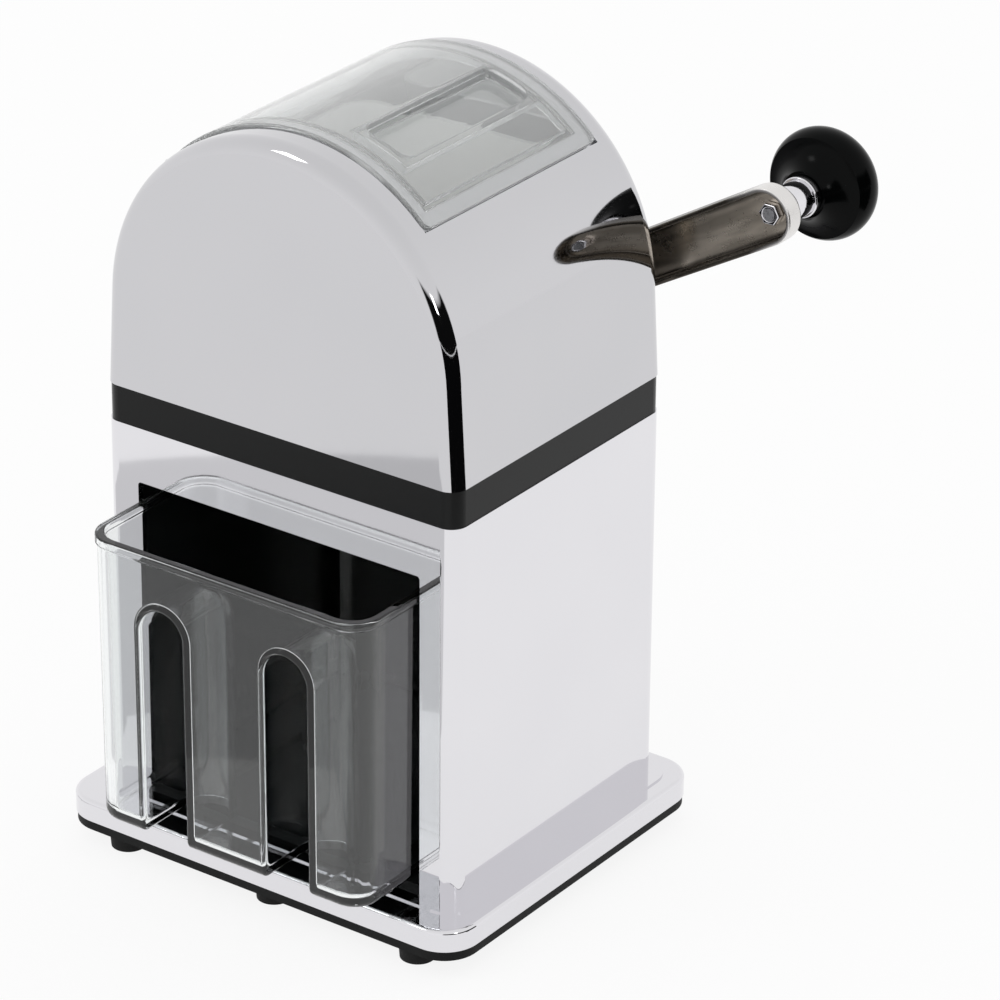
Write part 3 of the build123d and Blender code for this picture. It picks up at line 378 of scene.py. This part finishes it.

# %% [markdown]
# The crank arm is pressed from steel strip and chrome-plated on both sides. Its colour holds
# painted light: painted shade, dark and brownish, in the inner corners of the channel, a painted
# highlight on the outer face of the flange near the knob, and painted reflections as faint dark
# streaks along the floor of the channel. Distances are taken from the arm's middle line, and
# along it from the knob's spindle.

# %% Painted shade, highlight and reflections on the arm
ARM_TILT = radians(30.5)
SHAFT_HEIGHT = 0.1679
CRANK_REACH = 0.1225
# Bands of painted shade (inner corners) and painted highlight (flange near the knob), in metres
CORNER_SHADE = (0.0062, 0.0078)  # from the arm's middle line, where the floor meets the flange
OUTER_FACE = (0.0084, 0.0092)  # from the same line, on the flange
BRIGHT_END = (-0.012, 0.002)  # past the knob's spindle
# Painted reflections: dark streaks along the arm
REFLECTION_STREAK_WIDTH_MM = 5
STREAK_SHARE = 0.14  # a streak's width as a share of its length


def paint_arm_light_and_shade(material):
    """Painted shade in the inner corners, a painted highlight round the knob's end and painted
    reflections as dark streaks along the arm.
    """
    tree = material.node_tree
    skin = tree.nodes["Principled BSDF"]
    plain = skin.inputs["Base Color"].links[0].from_socket
    spot = add_node(tree, "ShaderNodeTexCoord").outputs["Object"]
    along = (cos(ARM_TILT), 0, sin(ARM_TILT))
    across = (-sin(ARM_TILT), 0, cos(ARM_TILT))
    reach = add_node(tree, "ShaderNodeVectorMath", {0: spot, 1: along}, operation="DOT_PRODUCT")
    offset = add_node(
        tree, "ShaderNodeVectorMath", {0: spot, 1: across}, operation="DOT_PRODUCT"
    )
    past_end = add_node(
        tree,
        "ShaderNodeMath",
        {0: reach.outputs["Value"], 1: SHAFT_HEIGHT * sin(ARM_TILT) + CRANK_REACH},
        operation="SUBTRACT",
    )
    round_end = add_node(
        tree, "ShaderNodeMath", {0: past_end.outputs[0], 1: 0.0}, operation="MAXIMUM"
    )
    beside = add_node(
        tree,
        "ShaderNodeMath",
        {0: offset.outputs["Value"], 1: SHAFT_HEIGHT * cos(ARM_TILT)},
        operation="SUBTRACT",
    )
    from_line = add_node(
        tree, "ShaderNodeCombineXYZ", {0: round_end.outputs[0], 1: beside.outputs[0], 2: 0.0}
    )
    from_middle = add_node(
        tree, "ShaderNodeVectorMath", {0: from_line.outputs[0]}, operation="LENGTH"
    )
    # Painted shade: the inner corners of the channel darken towards #1C1916
    corner = add_node(
        tree,
        "ShaderNodeMapRange",
        {
            "Value": from_middle.outputs["Value"],
            "From Min": CORNER_SHADE[0],
            "From Max": CORNER_SHADE[1],
            "To Min": 0.0,
            "To Max": 0.85,
        },
    )
    # Noise stretched along the arm for the painted reflection streaks
    drawn_out = add_node(
        tree,
        "ShaderNodeMath",
        {0: reach.outputs["Value"], 1: STREAK_SHARE},
        operation="MULTIPLY",
    )
    stretched = add_node(
        tree, "ShaderNodeCombineXYZ", {0: drawn_out.outputs[0], 1: beside.outputs[0], 2: 0.0}
    )
    reflection_streak_noise = add_node(
        tree,
        "ShaderNodeTexNoise",
        {"Vector": stretched.outputs[0], "Scale": per_metre(REFLECTION_STREAK_WIDTH_MM), "Detail": 2.0},
    )
    streak = add_node(
        tree,
        "ShaderNodeMapRange",
        {
            "Value": reflection_streak_noise.outputs[0],
            "From Min": 0.45,
            "From Max": 0.62,
            "To Min": 0.0,
            "To Max": 0.45,
        },
    )
    # Painted reflections: the streaks darken the arm towards #5E564A
    with_painted_streaks = add_node(
        tree,
        "ShaderNodeMix",
        {"Factor": streak.outputs[0], "A": plain, "B": linear("#5E564A")},
        data_type="RGBA",
    )
    # Painted shade mixed into the arm's colour
    with_painted_corner_shade = add_node(
        tree,
        "ShaderNodeMix",
        {"Factor": corner.outputs[0], "A": with_painted_streaks.outputs["Result"], "B": linear("#1C1916")},
        data_type="RGBA",
    )
    # Painted highlight: the flange's outer face round the knob's end turns bright #E4E2E0
    outside = add_node(
        tree,
        "ShaderNodeMapRange",
        {
            "Value": from_middle.outputs["Value"],
            "From Min": OUTER_FACE[0],
            "From Max": OUTER_FACE[1],
        },
    )
    near_knob = add_node(
        tree,
        "ShaderNodeMapRange",
        {
            "Value": past_end.outputs[0],
            "From Min": BRIGHT_END[0],
            "From Max": BRIGHT_END[1],
            "To Min": 0.0,
            "To Max": 1.0,
        },
    )
    painted_rim_highlight = add_node(
        tree,
        "ShaderNodeMath",
        {0: outside.outputs[0], 1: near_knob.outputs[0]},
        operation="MULTIPLY",
    )
    # Painted highlight mixed over the painted shade and streaks
    plated = add_node(
        tree,
        "ShaderNodeMix",
        {"Factor": painted_rim_highlight.outputs[0], "A": with_painted_corner_shade.outputs["Result"], "B": linear("#E4E2E0")},
        data_type="RGBA",
    )
    tree.links.new(plated.outputs["Result"], skin.inputs["Base Color"])


paint_arm_light_and_shade(arm_steel)
print("arm plated over", round(CRANK_REACH / MILLIMETRE, 1), "mm")

# %% [markdown]
# The clear mouldings are SAN, a stiff and slightly cool kitchen plastic with a refractive index
# of 1.57. Glass in a path tracer keeps lamps out of what it covers, so rays from lamps pass
# straight through it here. The lid is handled most and its skin is full of hairlines too fine
# to draw, so a small share of it scatters white instead of passing light.

# %% Clear plastic
SAN_INDEX = 1.57


def clear_plastic(name, swatch, passing):
    """Clear moulded plastic that passes this share of the light."""
    material = finish(
        name,
        swatch,
        0.0,
        0.012,
        18,
        0.006,
        6,
        0.02,
        swatch,
        Transmission_Weight=passing,
        IOR=SAN_INDEX,
    )
    tree = material.node_tree
    output = next(n for n in tree.nodes if n.type == "OUTPUT_MATERIAL")
    lamp_ray = add_node(tree, "ShaderNodeLightPath").outputs["Is Shadow Ray"]
    open_way = add_node(tree, "ShaderNodeBsdfTransparent", {"Color": linear("#F2F5F5")})
    either = add_node(
        tree,
        "ShaderNodeMixShader",
        {0: lamp_ray, 1: tree.nodes["Principled BSDF"].outputs[0], 2: open_way.outputs[0]},
    )
    tree.links.new(either.outputs[0], output.inputs["Surface"])
    return material


clear_drawer = clear_plastic("clear_san", "#FAFCFC", 1.0)
clear_lid = clear_plastic("clear_san_hazed", "#F6F7F7", 0.8)
print("finishes", len(bpy.data.materials))

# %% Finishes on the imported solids
wearers = {
    chrome: ["base_plinth", "lower_body", "shaft_bezel", "ferrule", "spindle_nut"],
    hood_chrome: ["hood"],
    arm_steel: ["crank_arm"],
    band_black: ["mid_frame"],
    liner_black: ["drawer_bay", "bottom_cover"],
    white_abs: ["crushing_chamber", "ice_hopper"],
    rubber: ["rubber_feet"],
    zinc: [
        "cover_screws", "body_screws", "frame_screws", "hood_screws", "chamber_screws",
        "comb_screws", "hub_screw",
    ],
    stainless: [
        "lid_hinge_pin", "left_comb", "right_comb", "crank_shaft", "rotor_blades", "blade_spacers",
        "thrust_washers", "shaft_circlip", "knob_spindle",
    ],
    nylon: ["front_bush", "rear_bush"],
    phenolic: ["knob", "knob_cap"],
    clear_drawer: ["ice_drawer"],
    clear_lid: ["lid"],
}
for material, wearing in wearers.items():
    for node_name in wearing:
        for material_slot in nodes[node_name].material_slots:
            material_slot.material = material
bare = sorted(set(nodes) - {name for names in wearers.values() for name in names})
print("nodes without a finish:", bare)

# %% [markdown]
# ## Edges that catch the light
# A mould leaves a small radius on every edge, and clear plastic shows each one as a pair of
# bright and dark lines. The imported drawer, lid, arm and spindle nut have the right shape with
# keen edges, so each is copied, its triangles are merged into whole faces, and the edges are
# bevelled.


# %% Rounded copies
WELD = 2e-6
FLAT = radians(0.5)
KEEN = radians(40)
SHARP_SHADING = radians(38)


def rounded_copy(name, node_name, body, edge_mm, material):
    """The node's shape with every keen edge rounded. It stands for the node."""
    mesh = bpy.data.meshes.new(name)
    shape = bmesh.new()
    shape.from_mesh(nodes[node_name].data)
    bmesh.ops.remove_doubles(shape, verts=shape.verts, dist=WELD)
    bmesh.ops.dissolve_limit(shape, angle_limit=FLAT, verts=shape.verts, edges=shape.edges)
    keen = [edge for edge in shape.edges if edge.calc_face_angle(0) > KEEN]
    bmesh.ops.bevel(
        shape,
        geom=keen,
        offset=edge_mm * MILLIMETRE,
        segments=3,
        profile=0.5,
        affect="EDGES",
        material=-1,
    )
    for face in shape.faces:
        face.smooth = True
        face.material_index = 0
    for edge in shape.edges:
        edge.smooth = edge.calc_face_angle(0) < SHARP_SHADING
    shape.to_mesh(mesh)
    open_edges = sum(1 for edge in shape.edges if len(edge.link_faces) != 2)
    shape.free()
    if "custom_normal" in mesh.attributes:
        mesh.attributes.remove(mesh.attributes["custom_normal"])
    mesh.materials.append(material)
    piece = bpy.data.objects.new(name, mesh)
    bpy.context.scene.collection.objects.link(piece)
    even = piece.modifiers.new("even_shading", "WEIGHTED_NORMAL")
    even.keep_sharp = True
    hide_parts(node_name)
    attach(piece, body)
    print(name, "keen edges", len(keen), "open edges", open_edges)


rounded_copy("drawer_moulding", "ice_drawer", "drawer", 0.7, clear_drawer)
rounded_copy("lid_moulding", "lid", "lid", 0.6, clear_lid)
rounded_copy("arm_pressing", "crank_arm", "crank", 0.5, arm_steel)
rounded_copy("spindle_nut_rounded", "spindle_nut", "crank", 0.5, chrome)
